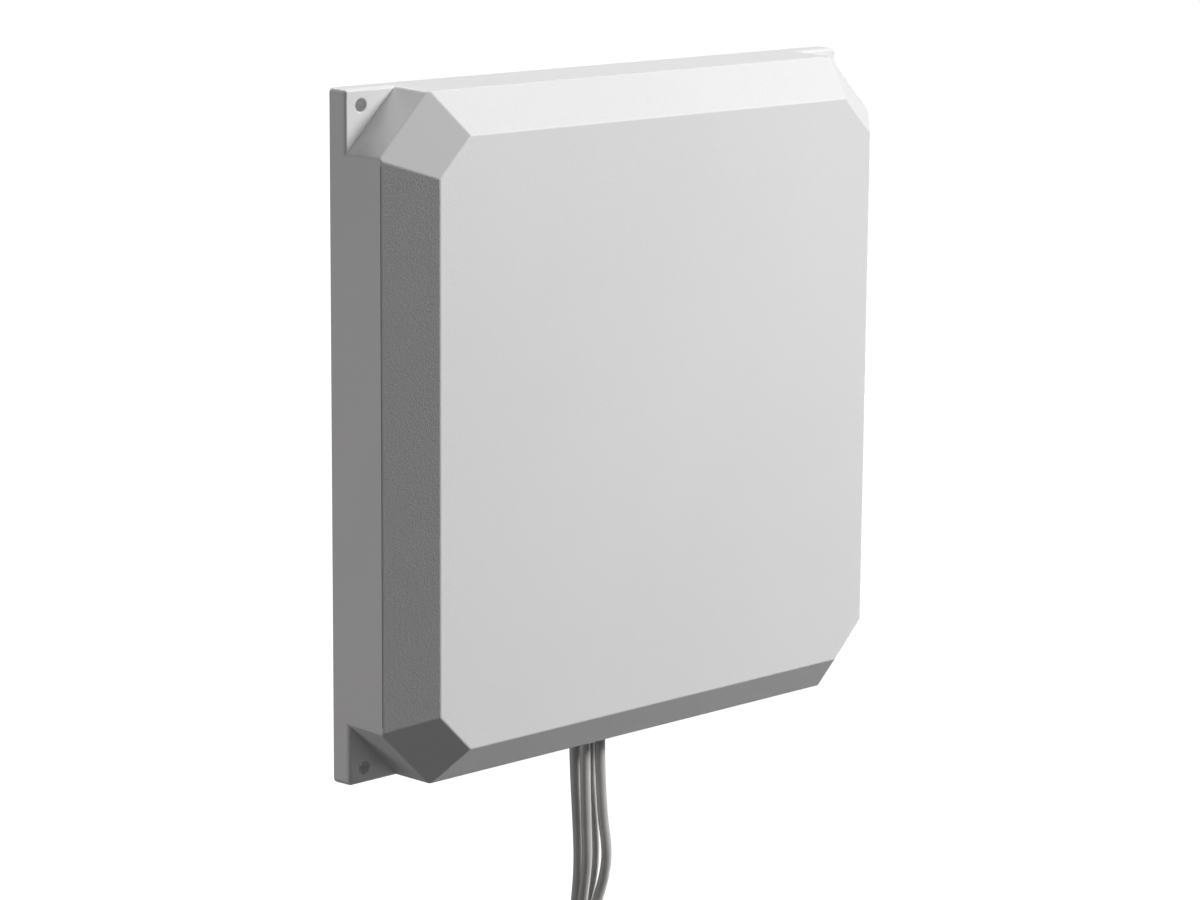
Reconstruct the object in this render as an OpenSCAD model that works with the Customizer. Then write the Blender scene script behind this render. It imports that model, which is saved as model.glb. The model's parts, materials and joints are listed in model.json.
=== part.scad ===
// Flat square panel antenna for a wall, with four coaxial leads.
// X runs right as seen from the front, +Y runs into the wall and +Z up. The origin is the centre of
// the four wall holes, on the back plane. The panel is drawn lying on its back and then stood up.

/* [Panel] */
// Width and height of the panel at its back rim
panel_size = 305; // [300:1:320]
// Depth of the panel from the wall to its front face
panel_depth = 50.5; // [50:0.5:52]
// Inward slope of the side walls, in mm for each mm of depth
side_draft = 0.032; // [0.02:0.001:0.05]
// Depth at which the side walls turn into the bevel
side_crease = 33; // [32:0.5:34]
// Width of the flat front face
face_size = 267.4; // [264:0.1:270]
// Distance across each cut corner of the body, as |x| + |z| on its wall
corner_sum = 276.5; // [275:0.5:278]
// The same distance at the front face
face_corner_sum = 250.2; // [248:0.1:252]
// Depth at which a cut corner turns into its bevel
corner_crease = 32.2; // [31:0.1:33]
// Thickness of the side walls
wall = 4.2; // [3.5:0.1:4.5]
// Thickness of the front face and bevels
front_wall = 3; // [2:0.1:4]

/* [Lugs] */
// Thickness of the corner lugs
lug_thick = 11; // [8:0.5:12]
// Radius of the panel's four outer corners
lug_round = 2.5; // [1:0.5:4]
// Distance of a wall hole from the side edge
hole_inset_x = 9; // [8:0.5:10]
// Distance of a wall hole from the top or bottom edge
hole_inset_z = 7.5; // [7:0.5:9]
// Diameter of the wall holes
hole_d = 5.8; // [5:0.1:6.5]

/* [Back] */
// Thickness of the back plate
plate_thick = 2; // [1.5:0.5:2]
// How far the back plate sits inside the rim
plate_recess = 0.5; // [0.3:0.1:1]
// Thickness of the seal under the back plate
seal_thick = 1; // [1:0.5:1.5]
// Distance of the outer plate screws from the panel's centre lines
screw_line = 142; // [141:0.5:142.5]
// Distance of those screws from the middle of their side
screw_side = 70; // [50:1:90]

/* [Antenna] */
// Depth of the back of the ground plane
ground_depth = 24; // [24:0.5:25]
// Width and height of the ground plane
ground_size = 262; // [250:1:264]
// Thickness of the ground plane's sheet
sheet_thick = 1.5; // [1:0.5:2]
// Height of the ground plane's turned-up rim
ground_rim = 7; // [5:0.5:8]
// Distance of each patch centre from the panel's centre lines
patch_at = 62; // [55:1:70]
// Width of a lower patch
lower_patch = 52; // [40:1:60]
// Width of an upper patch
upper_patch = 23; // [18:1:30]
// Distance of the feed below its patch's centre
feed_drop = 10; // [8:1:12]

/* [Cables] */
// Diameter of each cable
cable_d = 4.95; // [4.9:0.05:5]
// Middle of the four cables where they leave, along X
cables_x = -12.25; // [-13:0.25:-12]
// Distance between the two columns of cables
column_pitch = 9.5; // [9.5:0.1:9.6]
// Depth of the middle of the two rows of cables
cables_depth = 15; // [15:0.1:15.2]
// Distance between the two rows of cables
row_pitch = 7; // [7:0.1:7.1]

/* [Coil] */
// Radius of the coil at the middle of its outer turns
coil_outer_turn = 42.5; // [42:0.1:43]
// Distance between neighbouring layers of the four-cable bundle
coil_pitch = 10.2; // [10:0.1:10.4]

/* [Plugs] */
// Outer diameter of the coupling nuts
nut_d = 14.5; // [14:0.1:15]
// Bore of the coupling nuts where they take the thread
nut_bore = 10.8; // [10.8:0.1:11.1]
// Radial play of each nut on its plug body
nut_play = 0.06; // [0.04:0.01:0.1]

/* [Hidden] */
$fn = 48;

// Outer skin: the side walls and corner walls, cut by the bevels
rim_half = panel_size / 2;
face_half = face_size / 2;
crease_half = rim_half - side_draft * side_crease;
side_slope = (crease_half - face_half) / (panel_depth - side_crease);
corner_slope = (corner_sum - face_corner_sum) / (panel_depth - corner_crease);
side_norm = sqrt(1 + side_slope * side_slope);
corner_norm = sqrt(2 + corner_slope * corner_slope);

// Half width and corner sum at depth d of a skin that lies inside the outer one
function skin_half(d, side_in, bevel_in) = min(rim_half - side_draft * d - side_in,
  face_half + side_slope * (panel_depth - d) - bevel_in * side_norm);
function skin_corner(d, side_in, bevel_in) = min(corner_sum - side_in * sqrt(2),
  face_corner_sum + corner_slope * (panel_depth - d) - bevel_in * corner_norm);
// Depths at which such a skin's side walls and corner walls turn into its bevels
function side_turn(side_in, bevel_in) =
  (face_half + side_slope * panel_depth - bevel_in * side_norm - rim_half + side_in)
  / (side_slope - side_draft);
function corner_turn(side_in, bevel_in) = panel_depth
  - (corner_sum - side_in * sqrt(2) - face_corner_sum + bevel_in * corner_norm) / corner_slope;
// The eight corners of a square of half width h whose corners are cut off where |x| + |y| = k
function octagon(h, k) = [[h, h - k], [h, k - h], [k - h, h], [h - k, h],
  [-h, k - h], [-h, h - k], [h - k, -h], [k - h, -h]];
function level(points, z) = [for (p = points) [p[0], p[1], z]];

// Places on the panel: [x, y] as seen from the front, y up
wall_holes = [for (i = [-1, 1], j = [-1, 1])
  [i * (rim_half - hole_inset_x), j * (rim_half - hole_inset_z)]];
plate_screws = concat([for (i = [-1, 1], j = [-1, 1]) [i * screw_line, j * screw_side]],
  [for (i = [-1, 1], j = [-1, 1]) [i * screw_side, j * screw_line]]);
standoff_places = [for (i = [-110, 45, 110], j = [-110, 110]) [i, j]];
patch_places = [for (j = [-1, 1], i = [-1, 1]) [i * patch_at, j * patch_at]];
feed_places = [for (p = patch_places) [p[0], p[1] - feed_drop]];
columns = [cables_x - column_pitch / 2, cables_x + column_pitch / 2];
rows = [cables_depth - row_pitch / 2, cables_depth + row_pitch / 2];
// Each cable's place in the gland: column, depth
cable_places = [for (c = columns, r = rows) [c, r]];

// Depths of the layers
plate_front = plate_recess + plate_thick;
ledge_depth = plate_front + seal_thick;
rebate_wall = 2.6;
ground_front = ground_depth + sheet_thick;
lower_depth = ground_front + 6;
patch_thick = 1;
upper_depth = lower_depth + patch_thick + 3.5;
head_depth = upper_depth + patch_thick;
// Screws, inserts and pins: radii and the insert's length
m3_r = 1.5;
m3_clear_r = 1.7;
m3_sink_r = 3.1;
m3_pan_r = 2.8;
m3_hex_r = 3.18;
pin_r = 0.65;
pin_deep = 5;
insert_r = 2.2;
insert_long = 6;
boss_r = 5.5;

// Gland and clamp, as heights below the panel's centre
gland_seat = -(rim_half - side_draft * ledge_depth - wall) + 0.2;
gland_size = [20.5, 18.5];
gland_lip = [27, 23.4];
gland_lip_thick = 3;
gland_tip = -153;
cable_start = -150;
clamp_low = -142.5;
clamp_high = -134.5;
clamp_wide = 34;
clamp_gap = 0.2;
clamp_screw_at = 13.5;
bore_r = 2.5;

// Free leads, from the gland down to the coil. Each point is [X, Y, Z].
lead_routes = [
  [[-17, -11.5, -150], [-17, -11.5, -162], [-16.6, -12, -178], [-16, -12.6, -194], [-15.5, -13, -210],
   [-15, -12.2, -222], [-14.2, -10.3, -233], [-13.2, -8.2, -244], [-13, -7.5, -254], [-14.4, -7.5, -262],
   [-18.3, -7.5, -268.4], [-24.3, -7.5, -273.5]],
  [[-17, -18.5, -150], [-17, -18.5, -162], [-16.8, -18.7, -178], [-16.5, -19.1, -194], [-16.2, -19.4, -210],
   [-15.9, -17.9, -222], [-15, -15.4, -233], [-13.6, -13.3, -244], [-13, -12.6, -254], [-14.4, -12.6, -262],
   [-18.3, -12.6, -268.4], [-24.3, -12.6, -273.5]],
  [[-7.5, -11.5, -150], [-7.5, -11.5, -162], [-7, -11.9, -178], [-6.3, -12.5, -194], [-5.6, -13.1, -210],
   [-5.7, -12.2, -222], [-6.4, -10.2, -233], [-7.6, -8.1, -244], [-8, -7.5, -254], [-9.6, -7.5, -263.4],
   [-14.4, -7.5, -271.7], [-21.7, -7.5, -277.9]],
  [[-7.5, -18.5, -150], [-7.5, -18.5, -162], [-6.9, -18.7, -178], [-5.9, -19.2, -194], [-4.6, -20.3, -210],
   [-4.4, -18.7, -222], [-5.4, -16, -233], [-7.2, -13.5, -244], [-8, -12.6, -254], [-9.6, -12.6, -263.4],
   [-14.4, -12.6, -271.7], [-21.7, -12.6, -277.9]]
];
// Tails, from the coil down to the plugs
tail_routes = [
  [[-41.7, -22.8, -312], [-41.6, -23.2, -322], [-40.6, -25.5, -334], [-38.8, -29.8, -348], [-38, -32, -360],
   [-38, -32, -372]],
  [[-41.7, -17.7, -312], [-41.6, -17.7, -322], [-40.6, -17.3, -334], [-38.8, -16.4, -347], [-38, -16, -358],
   [-38, -16, -370]],
  [[-46.8, -22.8, -312], [-47, -23.2, -322], [-48.8, -25.5, -334], [-52.6, -29.8, -347], [-54, -32, -358],
   [-54, -32, -370]],
  [[-46.8, -17.7, -312], [-47, -17.7, -322], [-48.8, -17.3, -334], [-52.6, -16.4, -349], [-54, -16, -361],
   [-54, -16, -373]]
];
tube_sides = 12;

// The coil lies round an axis along Y
coil_centre = [-1.75, -15.1, -312.5];
coil_mean = coil_outer_turn - coil_pitch / 2;
tie_wide = 4.6;
tie_thick = 1.2;
tie_play = 0.1;

// Plugs, hanging straight down. Depths along a plug run from its cable end to its open end.
sleeve_long = 16;
cable_in = 12;
plug_places = [for (t = tail_routes) let (e = t[len(t) - 1]) [e[0], e[1], e[2] + cable_in]];
neck_r = 4.6;
shoulder_r = 5.2;
shell_r = 4.05;
shell_bore = 3.25;
barrel_end = 22;
neck_end = 27;
shoulder_end = 29;
nut_start = 22.3;
nut_collar_end = 26.8;
nut_end = 39;

// Panel coordinates have y up and z out of the wall; this stands the panel up
module stand() { rotate([90, 0, 0]) children(); }
module at_all(places) { for (p = places) translate([p[0], p[1], 0]) children(); }
// A cylinder between two depths
module disc(r, from, to) { translate([0, 0, from]) cylinder(r = r, h = to - from); }
module slab(points, from, to) { translate([0, 0, from]) linear_extrude(to - from) polygon(points); }
module block(size, from, to) {
  translate([-size[0] / 2, -size[1] / 2, from]) cube([size[0], size[1], to - from]);
}

// A solid through several octagons, each [half width, corner sum, depth]
module loft(levels) {
  n = len(levels);
  points = [for (l = levels) each level(octagon(l[0], l[1]), l[2])];
  sides = [for (i = [0:n - 2], j = [0:7])
    [8 * i + j, 8 * (i + 1) + j, 8 * (i + 1) + (j + 1) % 8, 8 * i + (j + 1) % 8]];
  polyhedron(points, concat([[0, 1, 2, 3, 4, 5, 6, 7]], [[for (j = [7:-1:0]) 8 * (n - 1) + j]], sides));
}

// The body's skin at some depth inside the outer one, from one depth to the front
module body_loft(from, side_in, bevel_in) {
  depths = [from, corner_turn(side_in, bevel_in), side_turn(side_in, bevel_in), panel_depth - bevel_in];
  loft([for (d = depths) [skin_half(d, side_in, bevel_in), skin_corner(d, side_in, bevel_in), d]]);
}

module rounded_square(size, r) {
  hull() for (i = [-1, 1], j = [-1, 1])
    translate([i * (size / 2 - r), j * (size / 2 - r)]) circle(r, $fn = 32);
}

module screw_bosses() {
  intersection() {
    at_all(plate_screws) disc(boss_r, plate_front, panel_depth);
    body_loft(plate_front, 1.5, 1.5);
  }
}

module radome() {
  plate_half = rim_half - rebate_wall - side_draft * ledge_depth;
  plate_corner = corner_sum - rebate_wall * sqrt(2);
  color("gainsboro") stand() difference() {
    union() {
      difference() {
        union() {
          body_loft(0, 0, 0);
          linear_extrude(lug_thick, scale = 1 - 2 * side_draft * lug_thick / panel_size)
            rounded_square(panel_size, lug_round);
        }
        body_loft(ledge_depth, wall, front_wall);
        slab(octagon(plate_half, plate_corner), -1, ledge_depth + 0.01);
      }
      screw_bosses();
    }
    at_all(wall_holes) disc(hole_d / 2, -1, lug_thick + 1);
    at_all(plate_screws) disc(insert_r, 0, ledge_depth + insert_long + 1);
    translate([cables_x, 0, cables_depth]) rotate([90, 0, 0]) block(gland_size, 140, 160);
    translate([cables_x, 0, cables_depth]) rotate([90, 0, 0])
      block(gland_lip + [0.4, 0.4], -gland_seat - 10, -gland_seat);
  }
}

module back_plate() {
  half = rim_half - rebate_wall - side_draft * ledge_depth - 0.3;
  corner = corner_sum - rebate_wall * sqrt(2) - 0.4;
  color("silver") stand() difference() {
    slab(octagon(half, corner), plate_recess, plate_front);
    at_all(concat(plate_screws, standoff_places)) {
      disc(m3_clear_r, 0, 3);
      translate([0, 0, plate_recess]) cylinder(r1 = m3_sink_r + 0.1, r2 = m3_clear_r, h = 1.5);
    }
    at_all(clamp_screw_places) disc(m3_r, 0, 3);
    translate([vent_place[0], vent_place[1], 0]) disc(1.5, 0, 3);
  }
}
clamp_screw_places = [for (i = [-1, 1]) [cables_x + i * clamp_screw_at, (clamp_low + clamp_high) / 2]];
vent_place = [90, -60];

module back_seal() {
  outer = rim_half - rebate_wall - side_draft * ledge_depth - 0.1;
  color("dimgray") stand() difference() {
    slab(octagon(outer, corner_sum - rebate_wall * sqrt(2) - 0.2), plate_front, ledge_depth);
    slab(octagon(outer - 1.4, corner_sum - wall * sqrt(2) - 0.1), plate_front - 1, ledge_depth + 1);
    at_all(plate_screws) disc(boss_r + 0.1, plate_front - 1, ledge_depth + 1);
  }
}

module countersunk(long) {
  translate([0, 0, plate_recess]) cylinder(r1 = m3_sink_r, r2 = m3_r, h = 1.55);
  disc(m3_r, plate_recess + 1, plate_recess + long);
}

module driven(depth, from) { disc(1.2, from, from + depth); }

module back_screws() {
  color("lightgray") stand() at_all(plate_screws) difference() {
    countersunk(7);
    driven(1, plate_recess - 0.2);
  }
}

module thread_inserts() {
  color("goldenrod") stand() at_all(plate_screws) difference() {
    disc(insert_r, plate_front + 0.5, plate_front + 0.5 + insert_long);
    disc(m3_r, plate_front, ledge_depth + insert_long + 1);
  }
}

module label_plate() {
  color("white") stand() translate([0, 40, 0]) block([70, 40], plate_recess - 0.2, plate_recess);
}

module vent_membrane() {
  color("white") stand() translate([vent_place[0], vent_place[1], 0])
    disc(6, plate_front, plate_front + 0.4);
}

module ground_plane() {
  half = ground_size / 2;
  corner = ground_size - 22;
  color("silver") stand() difference() {
    slab(octagon(half, corner), ground_depth, ground_front + ground_rim);
    slab(octagon(half - sheet_thick, corner - 2), ground_front, ground_front + ground_rim + 1);
    at_all(concat(standoff_places, patch_places)) disc(m3_clear_r, ground_depth - 1, ground_front + 1);
    at_all(feed_places) disc(bore_r, ground_depth - 1, ground_front + 1);
  }
}

module standoffs() {
  color("lightgray") stand() at_all(standoff_places) difference() {
    translate([0, 0, plate_front]) cylinder(r = m3_hex_r, h = ground_depth - plate_front, $fn = 6);
    disc(m3_r, plate_front - 1, ground_depth + 1);
  }
}

module rear_standoff_screws() {
  color("lightgray") stand() at_all(standoff_places) difference() {
    countersunk(8);
    driven(1, plate_recess - 0.2);
  }
}

module pan_head(r, from) {
  difference() {
    disc(r, from, from + 2.2);
    driven(1.4, from + 1);
  }
}

module front_standoff_screws() {
  color("lightgray") stand() at_all(standoff_places) {
    disc(m3_r, ground_front - 8, ground_front);
    pan_head(m3_pan_r, ground_front);
  }
}

module patch(size, from) {
  difference() {
    block([size, size], from, from + patch_thick);
    disc(m3_clear_r, from - 1, from + 2);
  }
}

module lower_patches() {
  color("lightgray") stand() difference() {
    at_all(patch_places) patch(lower_patch, lower_depth);
    at_all(feed_places) disc(0.7, lower_depth - 1, lower_depth + 2);
  }
}

module upper_patches() {
  color("lightgray") stand() at_all(patch_places) patch(upper_patch, upper_depth);
}

module spacer(r, from, to) {
  difference() {
    disc(r, from, to);
    disc(m3_clear_r, from - 1, to + 1);
  }
}

module patch_posts() {
  color("ivory") stand() at_all(patch_places) spacer(5, ground_front, lower_depth);
}

module patch_spacers() {
  color("ivory") stand() at_all(patch_places) spacer(4, lower_depth + patch_thick, upper_depth);
}

module patch_screws() {
  color("ivory") stand() at_all(patch_places) {
    disc(m3_r, ground_depth - 3, head_depth);
    pan_head(m3_pan_r, head_depth);
  }
}

module patch_nuts() {
  color("ivory") stand() at_all(patch_places) difference() {
    translate([0, 0, ground_depth - 2.4]) cylinder(r = m3_hex_r, h = 2.4, $fn = 6);
    disc(m3_r, ground_depth - 3, ground_depth + 1);
  }
}

module feed_blocks() {
  half = 4.5;
  color("goldenrod") stand() at_all(feed_places) difference() {
    block([2 * half, 2 * half], ground_depth - 8.5, ground_depth);
    disc(pin_r, ground_depth - pin_deep, ground_depth + 1);
    translate([0, 0, ground_depth - pin_deep]) rotate([90, 0, 0]) disc(bore_r, 1, half + 0.5);
  }
}

module feed_pins() {
  color("gold") stand() at_all(feed_places)
    disc(pin_r, ground_depth - pin_deep, lower_depth + patch_thick + 0.3);
}

// Solid tube along a route, with one ring of points square to the route at each of its points
module tube(route, d) {
  n = len(route);
  m = tube_sides;
  points = [for (i = [0:n - 1]) let (
    t = route[min(i + 1, n - 1)] - route[max(i - 1, 0)],
    u = cross(t, [0, 1, 0]) / norm(cross(t, [0, 1, 0])),
    v = cross(u, t) / norm(t)
  ) for (j = [0:m - 1]) route[i] + d / 2 * (cos(360 * j / m) * u + sin(360 * j / m) * v)];
  sides = [for (i = [0:n - 2], j = [0:m - 1])
    [m * i + j, m * i + (j + 1) % m, m * (i + 1) + (j + 1) % m, m * (i + 1) + j]];
  polyhedron(points, concat([[for (j = [m - 1:-1:0]) j]], [[for (j = [0:m - 1]) m * (n - 1) + j]], sides));
}

// Points on a curve that leaves the clamp going up and comes up under a feed block
function lead_curve(n, rings) = let (
  a = [cable_places[n][0], -cable_places[n][1], clamp_high],
  f = feed_places[lead_feeds[n]],
  e = [f[0], pin_deep - ground_depth, f[1] - 7],
  rise = (e[2] - a[2]) / 2
) [for (i = [0:rings]) let (s = i / rings)
  a * pow(1 - s, 3) + (a + [0, 0, rise]) * 3 * s * pow(1 - s, 2)
  + (e - [0, 0, rise]) * 3 * s * s * (1 - s) + e * pow(s, 3)];
lead_feeds = [0, 2, 1, 3];
lead_rings = [7, 12, 8, 13];

module inner_lead(n) {
  a = [cable_places[n][0], -cable_places[n][1], cable_start];
  f = feed_places[lead_feeds[n]];
  e = [f[0], pin_deep - ground_depth, f[1] - 1];
  color("darkgray") tube(concat([a], lead_curve(n, lead_rings[n]), [e]), cable_d);
}

module cable_gland() {
  color("dimgray") translate([cables_x, -cables_depth, 0]) difference() {
    union() {
      block(gland_size - [0.1, 0.1], gland_tip, gland_seat + 1);
      block(gland_lip, gland_seat, gland_seat + gland_lip_thick);
    }
    for (i = [-1, 1], j = [-1, 1]) translate([i * column_pitch / 2, j * row_pitch / 2, 0])
      disc(bore_r, gland_tip - 1, gland_seat + gland_lip_thick + 1);
  }
}

// One bar of the clamp between two depths, with a groove for each cable and two screw holes
module clamp_bar(from, to, screw_r) {
  color("ivory") difference() {
    translate([cables_x - clamp_wide / 2, -to, clamp_low])
      cube([clamp_wide, to - from, clamp_high - clamp_low]);
    for (p = cable_places) translate([p[0], -p[1], 0]) disc(bore_r, clamp_low - 1, clamp_high + 1);
    stand() at_all(clamp_screw_places) disc(screw_r, from - 1, to + 1);
  }
}

module clamp_base() { clamp_bar(plate_front, rows[0] - clamp_gap, m3_clear_r); }
module clamp_middle() { clamp_bar(rows[0] + clamp_gap, rows[1] - clamp_gap, m3_clear_r); }
module clamp_cap() { clamp_bar(rows[1] + clamp_gap, rows[1] + 4.5, m3_clear_r); }

module clamp_screws() {
  color("lightgray") stand() at_all(clamp_screw_places) {
    disc(m3_r, plate_recess + 0.3, rows[1] + 4.5);
    pan_head(m3_pan_r, rows[1] + 4.5);
  }
}

module cable(n) {
  color("darkgray") {
    tube(lead_routes[n], cable_d);
    tube(tail_routes[n], cable_d);
  }
}

module cable_coil() {
  half = coil_pitch + 0.1;
  cut = 2;
  outline = octagon(half, 2 * half - cut);
  color("darkgray") translate(coil_centre) rotate([90, 0, 0])
    rotate_extrude($fn = 96) translate([coil_mean, 0]) polygon(outline);
}

module tie_band(inner, wide) {
  difference() {
    cube([inner[0] + 2 * tie_thick, inner[1] + 2 * tie_thick, wide], center = true);
    cube([inner[0], inner[1], wide + 1], center = true);
  }
}

module coil_ties() {
  inner = 2 * (coil_pitch + 0.1 + tie_play);
  color("whitesmoke") for (a = [40, 250, 325])
    translate(coil_centre) rotate([0, -a, 0]) translate([coil_mean, 0, 0]) {
      tie_band([inner, inner], tie_wide);
      translate([inner / 2 + tie_thick + 1.5, 0, 0]) cube([3, 6, 5.4], center = true);
    }
}

module lead_tie() {
  size = coil_pitch / 2 + cable_d + 0.5;
  color("whitesmoke") translate([-10.5, -10.05, -254]) {
    tie_band([size, size], tie_wide);
    translate([0, -size / 2 - tie_thick - 1.5, 0]) cube([6, 3, 5.4], center = true);
  }
}

module at_plug(n) { translate(plug_places[n]) rotate([180, 0, 0]) children(); }
module at_plugs() { for (n = [0:3]) at_plug(n) children(); }

module crimp_sleeve(n) {
  color("dimgray") at_plug(n) difference() {
    disc(3.5, 0, sleeve_long);
    disc(bore_r, -1, sleeve_long + 1);
  }
}

module plug_body(n) {
  color("lightgray") at_plug(n) difference() {
    union() {
      disc(2.45, cable_in, sleeve_long + 1);
      translate([0, 0, sleeve_long]) cylinder(r = 5.6, h = barrel_end - sleeve_long, $fn = 6);
      disc(neck_r, barrel_end - 1, neck_end);
      disc(shoulder_r, neck_end, shoulder_end);
      disc(shell_r, shoulder_end - 1, nut_end - 2);
    }
    disc(shell_bore, shoulder_end + 1, nut_end);
  }
}

module coupling_nut(n) {
  color("lightgray") at_plug(n) difference() {
    disc(nut_d / 2, nut_start, nut_end);
    disc(neck_r + nut_play, nut_start - 1, nut_collar_end + 1);
    disc(nut_bore / 2, nut_collar_end, nut_end + 1);
  }
}

module plug_seals() {
  color("dimgray") at_plugs() difference() {
    disc(nut_bore / 2 - 0.1, shoulder_end, shoulder_end + 1.2);
    disc(shell_r + 0.02, shoulder_end - 1, shoulder_end + 2);
  }
}

module plug_insulators() {
  color("white") at_plugs() difference() {
    disc(shell_bore - 0.02, shoulder_end + 1, nut_end - 4);
    disc(0.7, shoulder_end, nut_end);
  }
}

module plug_contacts() { color("gold") at_plugs() disc(pin_r, shoulder_end + 1, nut_end - 2.5); }

radome();
back_plate();
back_seal();
back_screws();
thread_inserts();
label_plate();
vent_membrane();
ground_plane();
standoffs();
rear_standoff_screws();
front_standoff_screws();
lower_patches();
upper_patches();
patch_posts();
patch_spacers();
patch_screws();
patch_nuts();
feed_blocks();
feed_pins();
inner_lead(0);  // inner_lead_1
inner_lead(1);  // inner_lead_2
inner_lead(2);  // inner_lead_3
inner_lead(3);  // inner_lead_4
cable_gland();
clamp_base();
clamp_middle();
clamp_cap();
clamp_screws();
cable(0);  // cable_1
cable(1);  // cable_2
cable(2);  // cable_3
cable(3);  // cable_4
cable_coil();
coil_ties();
lead_tie();
crimp_sleeve(0);  // crimp_sleeve_1
crimp_sleeve(1);  // crimp_sleeve_2
crimp_sleeve(2);  // crimp_sleeve_3
crimp_sleeve(3);  // crimp_sleeve_4
plug_body(0);  // plug_body_1
plug_body(1);  // plug_body_2
plug_body(2);  // plug_body_3
plug_body(3);  // plug_body_4
coupling_nut(0);  // coupling_nut_1
coupling_nut(1);  // coupling_nut_2
coupling_nut(2);  // coupling_nut_3
coupling_nut(3);  // coupling_nut_4
plug_seals();
plug_insulators();
plug_contacts();
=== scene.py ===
"""Looks of the wall panel antenna: camera, lights, cables, moulded cover, plugs and materials.
Lengths named in mm are turned into metres by MM. X runs right, +Y into the wall and +Z up."""

import json
import math

import bmesh
import bpy
from mathutils import Matrix, Vector


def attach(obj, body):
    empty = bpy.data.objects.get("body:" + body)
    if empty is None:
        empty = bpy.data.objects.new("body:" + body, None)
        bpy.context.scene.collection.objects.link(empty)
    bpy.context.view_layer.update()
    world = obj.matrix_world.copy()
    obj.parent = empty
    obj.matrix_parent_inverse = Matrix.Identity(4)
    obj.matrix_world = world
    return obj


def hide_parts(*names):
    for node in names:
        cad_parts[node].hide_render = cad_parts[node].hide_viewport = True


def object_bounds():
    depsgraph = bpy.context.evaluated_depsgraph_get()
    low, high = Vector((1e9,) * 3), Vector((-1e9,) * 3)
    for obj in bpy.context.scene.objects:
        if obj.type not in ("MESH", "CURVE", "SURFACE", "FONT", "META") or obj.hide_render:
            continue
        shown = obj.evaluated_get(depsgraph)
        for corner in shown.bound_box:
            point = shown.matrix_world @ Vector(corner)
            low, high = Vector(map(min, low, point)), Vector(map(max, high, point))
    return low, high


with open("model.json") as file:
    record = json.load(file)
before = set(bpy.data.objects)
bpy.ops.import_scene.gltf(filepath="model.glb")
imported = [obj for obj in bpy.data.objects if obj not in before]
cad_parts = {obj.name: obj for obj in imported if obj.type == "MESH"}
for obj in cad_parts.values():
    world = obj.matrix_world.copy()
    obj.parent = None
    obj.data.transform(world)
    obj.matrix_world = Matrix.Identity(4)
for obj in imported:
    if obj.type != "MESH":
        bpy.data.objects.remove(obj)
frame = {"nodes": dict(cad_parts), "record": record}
cad_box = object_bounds()

MM = 0.001
ROOT = "root"

# ---------------------------------------------------------------- sizes, in mm, as in the CAD
PANEL_DEPTH = 50.5
RIM_HALF = 152.5
SIDE_DRAFT = 0.032
SIDE_CREASE = 33.0
CREASE_HALF = RIM_HALF - SIDE_DRAFT * SIDE_CREASE
FACE_HALF = 133.7
CORNER_SUM = 276.5
FACE_CORNER_SUM = 250.2
CORNER_CREASE = 32.2
LUG = 11.0
WALL = 4.2
FRONT_WALL = 3.0
REBATE_WALL = 2.6
LEDGE = 3.5
PLATE_FRONT = 2.5
HOLE_RADIUS = 2.9
HOLE_X, HOLE_Z = 143.5, 145.0
SCREW_LINE, SCREW_SIDE = 142.0, 70.0
BOSS_RADIUS, INSERT_RADIUS, INSERT_END = 5.5, 2.2, 10.5
GLAND_X, GLAND_DEPTH = -12.25, 15.0
GLAND_WIDE, GLAND_THICK = 20.5, 18.5
CABLE_RADIUS = 2.475
# Rounds of the cover's edges: upright lug corners, lug fronts, rear edge and all others
WIDEST_ROUND, LUG_ROUND, REAR_ROUND, CRISP_ROUND = 2.5, 2.5, 1.6, 0.6
# Wall holes: a shallow sink at the back and a small chamfer at the front
SINK_RADIUS, SINK_DEPTH, HOLE_CHAMFER, CHAMFER_DEPTH = 3.4, 0.5, 0.45, 0.3
HOLE_SIDES = 48
# Parting groove along each straight crease: how far it runs either way, and its cross-section
GROOVE_REACH = 121.5
GROOVE_INSIDE, GROOVE_OUTSIDE, GROOVE_BACK, GROOVE_FRONT = 0.5, 1.0, 0.6, 0.05
GLAND_ROUND = 4.0

# Rounds of the plain CAD nodes' edges where they differ from the usual 0.15 mm
EDGE_ROUNDS = {"cable_gland": 0.8, "label_plate": 0.05, "vent_membrane": 0.1, "clamp_base": 0.5,
               "clamp_middle": 0.5, "clamp_cap": 0.5, "feed_blocks": 0.3, "ground_plane": 0.25}

SIDE_SLOPE = (CREASE_HALF - FACE_HALF) / (PANEL_DEPTH - SIDE_CREASE)
CORNER_SLOPE = (CORNER_SUM - FACE_CORNER_SUM) / (PANEL_DEPTH - CORNER_CREASE)
SIDE_NORM = math.hypot(1, SIDE_SLOPE)
CORNER_NORM = math.sqrt(2 + CORNER_SLOPE**2)


# ---------------------------------------------------------------- camera
CAMERA_YAW, CAMERA_PITCH, CAMERA_ROLL = 43.953, 11.277, 0.428
CAMERA_TARGET = Vector((-20.066, -30.0, -17.019))
CAMERA_DISTANCE_M = 1.6977
CAMERA_LENS = 113.32


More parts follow.
